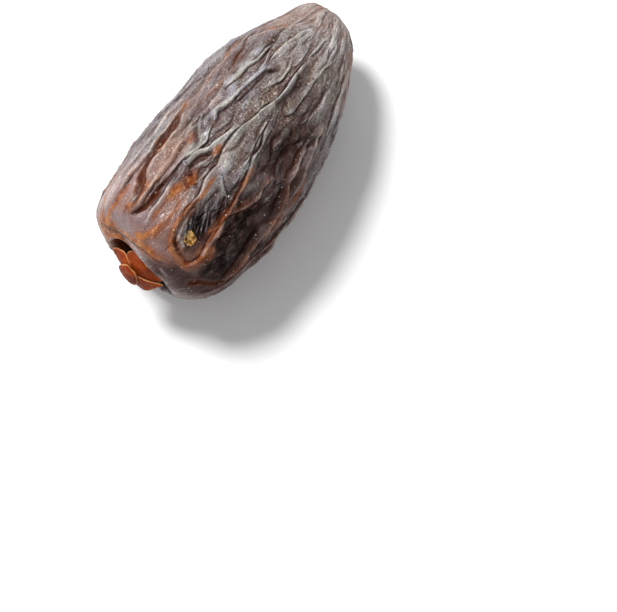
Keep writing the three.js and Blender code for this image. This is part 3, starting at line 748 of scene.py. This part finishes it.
def make_skin(origin):
    barrel = Barrel()
    relief = skin_relief(barrel)
    height = relief["fade"] * relief["height"]
    lean = relief["fade"] * np.clip(relief["lean"], -MOST_LEAN, MOST_LEAN)
    points = barrel.place + barrel.normal * height[..., None] + barrel.sideways * lean[..., None]
    y, z = bend(points[..., 0])
    points[..., 1] += y
    points[..., 2] = settle(points[..., 2] + z)
    return grid_mesh("skin", (points - origin) * MM, skin_tints(barrel, relief, height))


# Materials

def colour(code):
    """A linear colour from a hexadecimal one."""
    parts = [int(code[i:i + 2], 16) / 255 for i in (0, 2, 4)]
    return (*[c / 12.92 if c <= 0.04045 else ((c + 0.055) / 1.055) ** 2.4 for c in parts], 1)


class Nodes:
    """A material's node tree, with short calls for the nodes that it needs. Text stands for a colour."""

    def __init__(self, name):
        self.material = bpy.data.materials.new(name)
        self.material.use_nodes = True
        self.tree = self.material.node_tree
        self.shader = self.tree.nodes["Principled BSDF"]

    def feed(self, socket, value):
        if isinstance(value, bpy.types.NodeSocket):
            self.tree.links.new(value, socket)
        else:
            socket.default_value = colour(value) if isinstance(value, str) else value

    def shade(self, inputs):
        for key, value in inputs.items():
            self.feed(self.shader.inputs[key], value)

    def add(self, kind, inputs=None, **settings):
        node = self.tree.nodes.new("ShaderNode" + kind)
        for key, value in settings.items():
            setattr(node, key, value)
        for key, value in (inputs or {}).items():
            self.feed(node.inputs[key], value)
        return node

    def attribute(self, name):
        return self.add("Attribute", attribute_name=name).outputs["Fac"]

    def place(self, stretch=(1, 1, 1)):
        where = self.add("TexCoord").outputs["Object"]
        return self.add("Mapping", {"Vector": where, "Scale": stretch}).outputs[0]

    def noise_at(self, where, scale, detail=2, rough=0.5):
        inputs = {"Vector": where, "Scale": scale, "Detail": detail, "Roughness": rough}
        return self.add("TexNoise", inputs).outputs

    def noise(self, scale, detail, rough, stretch=(1, 1, 1)):
        return self.noise_at(self.place(stretch), scale, detail, rough)["Fac"]

    def cells(self, scale, stretch, bent):
        """Distance to the edges of uneven cells with bent edges, in shares of a cell."""
        where = self.place(stretch)
        inputs = {0: self.noise_at(where, scale * 1.3)["Color"], "Scale": bent / scale}
        push = self.add("VectorMath", inputs, operation="SCALE").outputs[0]
        where = self.add("VectorMath", {0: where, 1: push}, operation="ADD").outputs[0]
        inputs = {"Vector": where, "Scale": scale}
        return self.add("TexVoronoi", inputs, feature="DISTANCE_TO_EDGE").outputs["Distance"]

    def furrows(self, scale):
        """Noise drawn out along the furrows of the dent."""
        where = self.place()
        along, across = (
            self.add("VectorMath", {0: where, 1: way}, operation="DOT_PRODUCT").outputs["Value"]
            for way in (FURROW_ALONG, FURROW_ACROSS)
        )
        flat = self.add("CombineXYZ", {"X": self.times(along, 0.12), "Y": across}).outputs[0]
        return self.noise_at(flat, scale)["Fac"]

    def specks(self, scale):
        """Distance to the nearest of scattered points, and a chance value for each point."""
        node = self.add("TexVoronoi", {"Vector": self.place(), "Scale": scale})
        chance = self.add("SeparateColor", {"Color": node.outputs["Color"]}).outputs[0]
        return node.outputs["Distance"], chance

    def math(self, operation, *values, clamp=False):
        """The values joined one after the other."""
        total = values[0]
        for value in values[1:]:
            node = self.add("Math", {0: total, 1: value}, operation=operation, use_clamp=clamp)
            total = node.outputs[0]
        return total

    def times(self, *values):
        return self.math("MULTIPLY", *values)

    def plus(self, *values):
        return self.math("ADD", *values)

    def most(self, *values):
        return self.math("MAXIMUM", *values)

    def remap(self, value, low, high, to_low=0.0, to_high=1.0):
        inputs = {"Value": value, "From Min": low, "From Max": high, "To Min": to_low, "To Max": to_high}
        return self.add("MapRange", inputs).outputs[0]

    def mix(self, share, a, b):
        return self.add("Mix", {0: share, 6: a, 7: b}, data_type="RGBA").outputs[2]

    def layers(self, base, *layers):
        """Colours over one another, each given after its share."""
        for share, layer in layers:
            base = self.mix(share, base, layer)
        return base

    def bump(self, height, strength, distance):
        inputs = {"Height": height, "Strength": strength, "Distance": distance}
        return self.add("Bump", inputs).outputs[0]


class SkinNodes(Nodes):
    """The skin's nodes, with the tints of its mesh and the noises that its layers share."""

    def __init__(self, mesh):
        super().__init__("date_skin")
        for layer in mesh.attributes:
            if layer.data_type == "FLOAT":
                setattr(self, layer.name, self.attribute(layer.name))
        self.broad = self.noise(230, 3, 0.5)
        self.mottle = self.noise(520, 5, 0.62)
        self.fine = self.noise(1700, 4, 0.6)
        self.grain = self.noise(4200, 3, 0.7)
        self.streak = self.noise(900, 4, 0.6, (0.3, 1, 1))
        self.crinkle = self.cells(1700, (0.45, 1, 1), 0.7)
        self.furrow = self.remap(self.furrows(2600), 0.5, 0.62)

    def mask(self, **ranges):
        """The product of these tints and noises, each remapped from its range to 0 and 1 or to other ends."""
        return self.times(*(self.remap(getattr(self, name), *ends) for name, ends in ranges.items()))


def flesh_colour(n):
    """Skin without bloom: mottled brown, rosy where pink, and glazed round the stem end."""
    rosy = n.mix(n.remap(n.mottle, 0.35, 0.65), "8d604c", "a87e6c")
    glaze = n.layers(
        n.mix(n.remap(n.broad, 0.42, 0.58), "6e4a38", "6e5352"),
        (n.remap(n.mottle, 0.42, 0.62, 0, 0.6), "8c685e"),
        (n.remap(n.streak, 0.48, 0.34, 0, 0.6), "54301e"),
        (n.times(n.lilac, 0.8), "8e7478"),
        (n.times(n.pink, 0.7), "966c5c"),
    )
    return n.layers(
        n.mix(n.remap(n.mottle, 0.3, 0.7), "442a28", "60413c"),
        (n.remap(n.broad, 0.5, 0.7, 0, 0.6), "5c464a"),
        # Darker, warmer brown where the skin lies low: partly its own tone, partly painted shade
        (n.remap(n.raised, 0.48, 0.22, 0, 0.75), "5c3020"),
        (n.times(n.frost, 0.7), "967c72"),
        (n.remap(n.streak, 0.45, 0.65, 0, 0.4), "3b2621"),
        (n.times(n.pink, 0.9), rosy),
        (n.times(n.glazed, 0.9), glaze),
    )


def dark_colour(n):
    """Near-black skin, partly painted shadow: sooty plates, browner in the glaze, the furrowed dent, and
    cracks.
    """
    soot_and_shadow = n.mix(n.remap(n.grain, 0.35, 0.65), "0d0503", "25130d")
    return n.layers(
        n.mix(n.remap(n.mottle, 0.46, 0.62), soot_and_shadow, "54403e"),
        (n.frost, "5c5a6a"),
        (n.times(n.glazed, 0.8), n.mix(n.mottle, "2c1410", "5a3c3a")),
        (n.striated, n.mix(n.furrow, "0a0605", "8a8284")),
        (n.mask(cracks=(0, 1), striated=(1, 0)), "090504"),
    )


def bloom_cover(n):
    """How much bloom lies on the skin: most on what stands out, partly as painted sheen, little in glazed and
    dark zones.
    """
    return n.mask(
        mottle=(0.3, 0.6, 0.55, 1), grain=(0.34, 0.6, 0.6, 1), bloom=(0, 1, 0.3, 1),
        convex=(0.25, 0.6, 0.35, 1), raised=(0.38, 0.62, 0.08, 1), glazed=(0, 1, 1, 0.3),
        dark=(0, 0.8, 1, 0.1),
    )


def bloom_colour(n):
    """Grey-lilac wax, paler where the skin stands out, partly as painted sheen."""
    lightness = n.remap(n.broad, 0.42, 0.58)
    return n.layers(
        n.mix(lightness, "8c8c9a", "a2a7a0"),
        # Paler on raised panels: partly the wax, partly painted sheen
        (n.remap(n.raised, 0.5, 0.72, 0, 0.9), n.mix(lightness, "b2b6c8", "bcc2bc")),
        (n.times(n.frost, 0.85), "d0cac8"),
        (n.times(n.pink, 0.7), "b09a90"),
        (n.times(n.glazed, 0.8), "a88f8c"),
        (n.lilac, "a29ca8"),
    )


def with_grain(n, skin):
    """Tan zones, then pale and dark grains, which are few in the glaze."""
    salt = n.times(
        n.remap(n.noise(3000, 2, 0.7), 0.55, 0.62),
        n.remap(n.most(n.bloom, n.tan), 0, 0.8, 0.35, 1),
        n.mask(glazed=(0, 1, 1, 0.25), dark=(0, 0.5, 1, 0.25), tan=(0, 1, 0.45, 0.85)),
    )
    pepper = n.times(
        n.remap(n.noise(2700, 2, 0.7), 0.45, 0.37),
        n.mask(glazed=(0, 1, 1, 0.25), tan=(0, 1, 0.55, 0.85)),
    )
    return n.layers(
        skin,
        (n.mask(tan=(0, 1), mottle=(0.4, 0.6, 0.15, 0.65)), "644a3c"),
        (salt, n.mix(n.tan, "cccac4", "c4b596")),
        (pepper, "34221c"),
    )


def with_amber(n, skin):
    """Amber zones: brown at their edges, and glowing orange inside."""
    glow = n.layers(
        n.mix(n.remap(n.mottle, 0.38, 0.62), "6c2e10", "a8642a"),
        (n.remap(n.fine, 0.5, 0.7, 0, 0.5), "c4945a"),
        (n.times(n.dark, 0.6), "74341a"),
    )
    warm = n.mask(amber=(0.04, 0.45, 0, 0.75), mottle=(0.35, 0.55, 0.6, 1))
    band = n.plus(n.amber, n.remap(n.streak, 0.38, 0.62, -0.35, 0.2))
    return n.layers(skin, (warm, "84503a"), (n.remap(band, 0.25, 0.8, 0, 0.92), glow))


def with_relief(n, skin):
    """Painted shade in grooves and hollows, crests pale with dust and painted highlight, a net of fine
    cracks.
    """
    # Painted shade: darker in the grooves and where the skin lies below its surroundings
    low = n.most(
        n.remap(n.convex, 0.34, 0, 0, 0.85),
        n.remap(n.groove, 0.2, 0.8, 0, 0.85),
        n.remap(n.raised, 0.3, -0.1, 0, 0.6),
    )
    # Partly dust, partly painted highlight: paler on the crests and on what stands out
    high = n.times(
        n.most(n.remap(n.convex, 0.72, 1, 0, 0.5), n.remap(n.crest, 0.25, 0.75)),
        n.mask(
            grain=(0.36, 0.58, 0.4, 1), mottle=(0.38, 0.52, 0.45, 1), amber=(0, 1, 1, 0.5),
            dark=(0, 1, 1, 0.35), glazed=(0, 1, 1, 0.6),
        ),
    )
    dust_and_highlight = n.layers(
        n.mix(n.remap(n.fine, 0.45, 0.62), "cfcdc8", "b4a690"),
        (n.times(n.dark, 0.8), "a29ea6"),
        (n.pink, "cbb0a0"),
        (n.times(n.amber, 0.8), "c48a5a"),
    )
    # The painted shade is dark brown, redder in amber skin; the pale crests are partly painted highlight
    return n.layers(
        skin,
        (n.times(low, n.mask(frost=(0, 1, 1, 0.45))), n.mix(n.amber, "280f08", "48190a")),
        (high, dust_and_highlight),
        (n.remap(n.crinkle, 0, 0.06, 0.25, 0), "2a1d18"),
    )


def sugar_grains_and_glints(n):
    """Pale grains of sugar, partly painted glints, most of them in amber and pink skin."""
    distance, chance = n.specks(1500)
    return n.times(n.remap(distance, 0.24, 0.12), n.remap(chance, 0.86, 0.9), n.most(n.amber, n.pink, 0.5))


def syrup_bead(n):
    return n.remap(n.plus(n.drop, n.remap(n.mottle, 0.3, 0.7, -0.35, 0.35)), 0.3, 0.5)


def with_deposits(n, skin, sugar_and_glints, bead):
    """Chalky rubs, flecks and sugar grains, pale partly by painted highlight; crystal crust, syrup, and
    painted shade in the hollow.
    """
    # Pale wax flecks on what stands out, which also stand in for glints: partly painted glints
    distance, chance = n.specks(700)
    ragged = n.math("ADD", n.remap(distance, 0.22, 0.1), n.remap(n.grain, 0.35, 0.65, -0.8, 0.5), clamp=True)
    wax_flecks_and_glints = n.times(ragged, n.remap(chance, 0.92, 0.94), n.mask(convex=(0.45, 0.6)))
    flaked = n.plus(n.crust, n.remap(n.fine, 0.3, 0.7, -0.4, 0.4), n.remap(n.mottle, 0.35, 0.65, -0.7, 0.35))
    crust = n.times(n.remap(flaked, 0.3, 0.6), n.remap(n.crust, 0, 0.2))
    hollow_shade = n.mix(n.remap(n.mottle, 0.35, 0.65), "20110b", "45281a")
    return n.layers(
        skin,
        # Chalky rubs, partly painted highlight along crests and the rim
        (n.mask(pale=(0, 1), fine=(0.4, 0.6, 0.55, 0.95)), "c4b4ae"),
        (wax_flecks_and_glints, "dcdedd"),
        # Pale sugar grains, partly painted glints
        (sugar_and_glints, "e8d8bc"),
        (crust, n.mix(n.remap(n.fine, 0.4, 0.6), "6e4616", "cc9f5e")),
        (bead, "43160a"),
        # Painted shade inside the hollow, amber where the amber tint reaches in
        (n.within, n.mix(n.amber, hollow_shade, "6e3014")),
    )


def skin_bump(n, sugar_and_glints):
    rough = n.plus(
        n.times(n.grain, 0.35), n.times(n.streak, 0.6), n.times(n.fine, 0.35),
        n.remap(n.crinkle, 0, 0.12, -0.3, 0),
    )
    calmed = n.times(rough, n.mask(glazed=(0, 1, 1, 0.45)))
    return n.bump(n.plus(calmed, n.times(sugar_and_glints, 0.4), n.times(n.furrow, n.striated)), 0.85, 0.00027)


def skin_material(mesh):
    n = SkinNodes(mesh)
    cover, sugar_and_glints, bead = bloom_cover(n), sugar_grains_and_glints(n), syrup_bead(n)
    skin = n.layers(flesh_colour(n), (n.dark, dark_colour(n)), (cover, bloom_colour(n)))
    skin = with_relief(n, with_amber(n, with_grain(n, skin)))
    rough = n.plus(n.remap(cover, 0, 0.9, 0.34, 0.54), n.remap(n.grain, 0.35, 0.65, -0.08, 0.08))
    # An export that drops the link of the specular level keeps this value
    n.shade({"Specular IOR Level": 0.4})
    n.shade({
        "Base Color": with_deposits(n, skin, sugar_and_glints, bead),
        "Roughness": n.times(rough, n.mask(glazed=(0, 1, 1, 0.75)), n.remap(bead, 0, 1, 1, 0.25)),
        "Specular IOR Level": n.mask(within=(0, 1, 0.6, 0), dark=(0, 0.8, 1, 0.05), amber=(0.2, 1, 1, 0.3)),
        "Coat Weight": n.mask(glazed=(0, 1), amber=(0, 1, 0.08, 0.02)),
        "Coat Roughness": 0.25,
        "Subsurface Weight": 0.04,
        "Subsurface Radius": (0.0012, 0.0005, 0.0003),
        "Subsurface Scale": 1.0,
        "Normal": skin_bump(n, sugar_and_glints),
    })
    return n.material


def calyx_material():
    n = Nodes("woody_calyx")
    edge, centre = n.attribute("edge"), n.attribute("centre")
    mottle, fine = n.noise(600, 5, 0.6), n.noise(3200, 4, 0.6)
    wood = n.layers(
        n.mix(n.remap(mottle, 0.3, 0.7), "722607", "a84510"),
        (n.remap(n.noise(260, 3, 0.6), 0.4, 0.62, 0, 0.75), "5c1c06"),
        (n.remap(fine, 0.5, 0.75, 0, 0.35), "b86830"),
        # Darker towards the middle, where the lobes meet: painted shade in the cleft
        (n.times(centre, 0.6), "3a170a"),
        (n.times(n.remap(edge, 0.7, 1, 0, 0.8), n.remap(mottle, 0.35, 0.6, 0.3, 1)), "cf9a66"),
    )
    n.shade({
        "Base Color": wood,
        "Roughness": n.remap(mottle, 0.3, 0.7, 0.4, 0.62),
        "Specular IOR Level": 0.1,
        "Subsurface Weight": 0.05,
        "Subsurface Radius": (0.0012, 0.0005, 0.0002),
        "Subsurface Scale": 1.0,
        "Normal": n.bump(n.plus(mottle, fine), 0.6, 0.00018),
    })
    return n.material


def floor_material():
    n = Nodes("pale_floor")
    n.shade({"Base Color": FLOOR_TONE, "Roughness": 0.7})
    return n.material


# The calyx

def dome(radius):
    return -CALYX_RISE * (1 - (radius / CALYX_RADIUS) ** 2)


def to_part(points, origin):
    """From the calyx's own axis to the part's frame: tilted, and seated in the hollow."""
    sin, cos = math.sin(math.radians(CALYX_TILT)), math.cos(math.radians(CALYX_TILT))
    x, y, z = points[..., 0], points[..., 1], points[..., 2]
    turned = np.stack([x * cos + z * sin, y, z * cos - x * sin], -1)
    return (turned + (CALYX_SINK, *bend(0)) - origin) * MM


def make_lobe(number, lobe, origin):
    """A thin plate inside its outline, bent over the dome, with a raised lip round its edge."""
    lift, outline = lobe
    turn, reach = np.array(pairs(outline)).T
    loop = around_axis(0, reach, np.radians(turn))[:, 1:]
    wrapped = np.vstack([loop[-2:], loop, loop[:3]])
    curve = through(wrapped, np.linspace(2, 2 + len(loop), CURVE_STEPS) / (len(wrapped) - 1))
    rim = evenly(curve, LOBE_COLUMNS + 1)[:-1]
    middle = loop.mean(0)
    grown = np.linspace(0, 1, LOBE_ROWS)
    outwards = np.concatenate([grown, grown[::-1]])[:, None]
    above = np.repeat([1, 0], LOBE_ROWS)[:, None]
    side, up = (middle[k] + outwards * (rim[:, k] - middle[k]) for k in (0, 1))
    radius = np.hypot(side, up)
    edge = (1 - outwards) * np.linalg.norm(rim - middle, axis=1)
    place = np.stack([side, up, 0 * side + 7.3 * number], -1)
    rough = sum(share * noise(place * (pitch, pitch, 1), seed) for pitch, share, seed in LOBE_NOISES)
    lip = LIP_RISE * (1 - smoothstep(edge, 0.1, 0.9))
    rise = lift * (1 - 0.5 * (radius / CALYX_RADIUS) ** 2) + lip + rough
    thickness = LOBE_THICKNESS * (0.3 + 0.7 * smoothstep(edge, 0, 0.8)) * above
    plate = np.stack([dome(radius) - rise - thickness, side, up], -1)
    # The centre tint is painted shade where the lobes meet
    tints = {"edge": 1 - smoothstep(edge, 0.05, 0.3), "centre": 1 - smoothstep(radius, 0.3, 1.5)}
    return grid_mesh(f"calyx_lobe_{number}", to_part(plate, origin), tints)


def make_core(origin):
    """The stalk in the hollow, with the dome under the lobes and the scar on top."""
    floor = HOLLOW_DEPTH - CALYX_SINK - FIT_GAP - 0.25
    curve = through([
        (0, -CALYX_RISE - 1.1), (0.5, -CALYX_RISE - 1.05), (0.9, -CALYX_RISE - 0.8),
        (1.4, -CALYX_RISE - 0.4), (CUPULE_RADIUS - 0.2, dome(CUPULE_RADIUS) - 0.25),
        (CUPULE_RADIUS, dome(CUPULE_RADIUS) + 0.3), (2.4, 0.5), (STALK_RADIUS, floor - 0.4),
        (STALK_RADIUS - 0.3, floor), (0, floor),
    ], np.linspace(0, 1, CURVE_STEPS))
    outline = evenly(curve, CORE_ROWS)
    turn = np.arange(CORE_COLUMNS) * 2 * np.pi / CORE_COLUMNS
    radius, x = outline[:, 0][:, None], outline[:, 1][:, None]
    rough = noise(around_axis(x * 2, 3, turn), 61)
    radius = radius * (1 + 0.05 * rough)
    points = around_axis(x + 0.04 * rough, radius, turn)
    # Darker at the scar in the middle: painted shade, as on the lobes
    centre = 1 - smoothstep(radius, 0.5, 1.4)
    return grid_mesh("calyx_core", to_part(points, origin), {"edge": 0.25 * centre, "centre": centre})


# Floor, light and camera

def make_floor():
    mesh = bpy.data.meshes.new("floor")
    corners = [(x * FLOOR_REACH, y * FLOOR_REACH, 0) for x, y in ((-1, -1), (1, -1), (1, 1), (-1, 1))]
    mesh.from_pydata(corners, [], [(0, 1, 2, 3)])
    mesh.materials.append(floor_material())
    piece = placed("floor", mesh)


def make_lights():
    world = bpy.data.worlds.new("studio")
    world.use_nodes = True
    background = world.node_tree.nodes["Background"]
    background.inputs["Color"].default_value = (1, 1, 1, 1)
    background.inputs["Strength"].default_value = WORLD_STRENGTH
    bpy.context.scene.world = world
    for name, (place, width, power) in LAMPS.items():
        data = bpy.data.lights.new(name, "AREA")
        data.shape = "DISK"
        data.size = width
        data.energy = power
        lamp = placed(name, data)
        lamp.location = place
        lamp.rotation_euler = (-Vector(place)).to_track_quat("-Z", "Y").to_euler()


def make_camera(target):
    """The camera whose ray through the body's pixel meets the target, with its horizon level."""
    heading, elevation = math.radians(CAMERA_HEADING), math.radians(CAMERA_ELEVATION)
    level = -math.cos(elevation)
    back = Vector((level * math.sin(heading), level * math.cos(heading), math.sin(elevation)))
    focal = PICTURE[0] / 2 / math.tan(math.radians(FIELD_OF_VIEW) / 2)
    ray = Vector((BODY_PIXEL[0] - PICTURE[0] / 2, PICTURE[1] / 2 - BODY_PIXEL[1], -focal)).normalized()
    pitch = math.atan2(ray.y, ray.z) - math.acos(-back.z / math.hypot(ray.y, ray.z))
    pitched_y = ray.y * math.cos(pitch) - ray.z * math.sin(pitch)
    yaw = math.atan2(-back.y, -back.x) - math.atan2(pitched_y, ray.x)
    data = bpy.data.cameras.new("camera")
    data.angle = math.radians(FIELD_OF_VIEW)
    data.clip_start = 0.01
    camera = placed("camera", data)
    camera.location = (Vector(target) + back * CAMERA_DISTANCE) * MM
    camera.rotation_euler = (pitch, 0, yaw)
    bpy.context.scene.camera = camera


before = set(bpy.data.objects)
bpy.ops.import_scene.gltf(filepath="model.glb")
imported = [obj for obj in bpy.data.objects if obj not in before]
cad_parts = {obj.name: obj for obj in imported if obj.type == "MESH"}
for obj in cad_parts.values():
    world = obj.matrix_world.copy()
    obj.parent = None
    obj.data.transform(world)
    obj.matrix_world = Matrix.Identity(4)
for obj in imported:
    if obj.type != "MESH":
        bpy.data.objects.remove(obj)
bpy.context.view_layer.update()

# The part's origin, in the millimetres of the tables above, found from the tip of the fruit's solid
tip = max((vertex.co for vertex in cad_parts["fruit"].data.vertices), key=lambda co: co.x)
origin = (LENGTH - tip.x / MM, bend(LENGTH)[0] - tip.y / MM, 0)

bpy.context.scene.view_settings.view_transform = "Standard"
make_camera((MIDDLE - origin[0], -origin[1], MIDDLE_HEIGHT))
make_lights()
make_floor()

skin = make_skin(origin)
skin.data.materials.append(skin_material(skin.data))
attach(skin, "root")
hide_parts("fruit")

woody = calyx_material()
pieces = [make_core(origin)] + [make_lobe(i + 1, lobe, origin) for i, lobe in enumerate(LOBES)]
for piece in pieces:
    piece.data.materials.append(woody)
    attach(piece, "root")
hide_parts("calyx")
